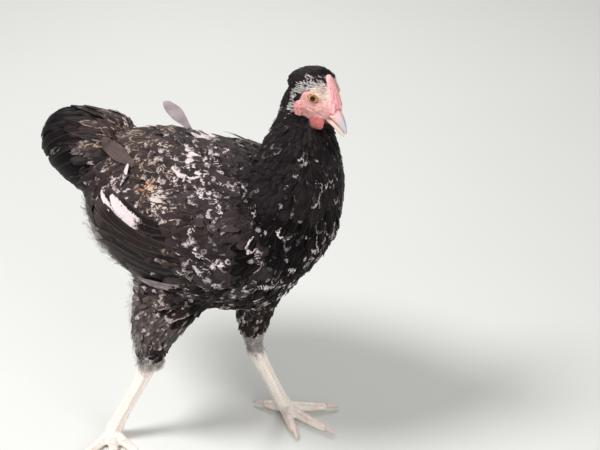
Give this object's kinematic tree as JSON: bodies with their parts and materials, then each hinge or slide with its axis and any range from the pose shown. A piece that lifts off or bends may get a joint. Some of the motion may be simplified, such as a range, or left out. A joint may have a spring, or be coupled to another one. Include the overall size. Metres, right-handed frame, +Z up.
{
  "type": "chicken",
  "caption": "Life-size young chicken standing in mid-stride, mottled black plumage, low pink comb, pale bare shanks; rests on flat toe pads",
  "frame": {"origin": "on the floor, under the centre of the bird's overall box", "axes": "+X the way the body faces, +Y the bird's left, +Z up; the head is turned to the bird's right"},
  "size_m": [0.3054, 0.1934, 0.4127],
  "materials": {
    "plumage": "satin black vaned feathers with a slight violet-brown cast and irregular white, grey and rust flecks",
    "bare_skin": "soft pink-red wrinkled skin of face, comb, wattles and ear lobes",
    "scale": "dry pinkish-white scutes on shanks and toes, pinker between the toes",
    "horn": "smooth semi-gloss horn, cream with a bluish-white bill tip",
    "eye": "wet clear cornea over an orange iris and black pupil"
  },
  "bodies": {
    "root": {"bill_lower": "horn", "bill_upper": "horn", "claw_hind_l": "horn", "claw_hind_r": "horn", "claw_inner_l": "horn", "claw_inner_r": "horn", "claw_middle_l": "horn", "claw_middle_r": "horn", "claw_outer_l": "horn", "claw_outer_r": "horn", "comb": "bare_skin", "ear_lobe_l": "bare_skin", "ear_lobe_r": "bare_skin", "eye_l": "eye", "eye_r": "eye", "head": "bare_skin", "neck": "plumage", "shank_l": "scale", "shank_r": "scale", "tail": "plumage", "thigh_l": "plumage", "thigh_r": "plumage", "toe_hind_l": "scale", "toe_hind_r": "scale", "toe_inner_l": "scale", "toe_inner_r": "scale", "toe_middle_l": "scale", "toe_middle_r": "scale", "toe_outer_l": "scale", "toe_outer_r": "scale", "trunk": "plumage", "wattle_l": "bare_skin", "wattle_r": "bare_skin", "wing_l": "plumage", "wing_r": "plumage"}
  },
  "joints": []
}
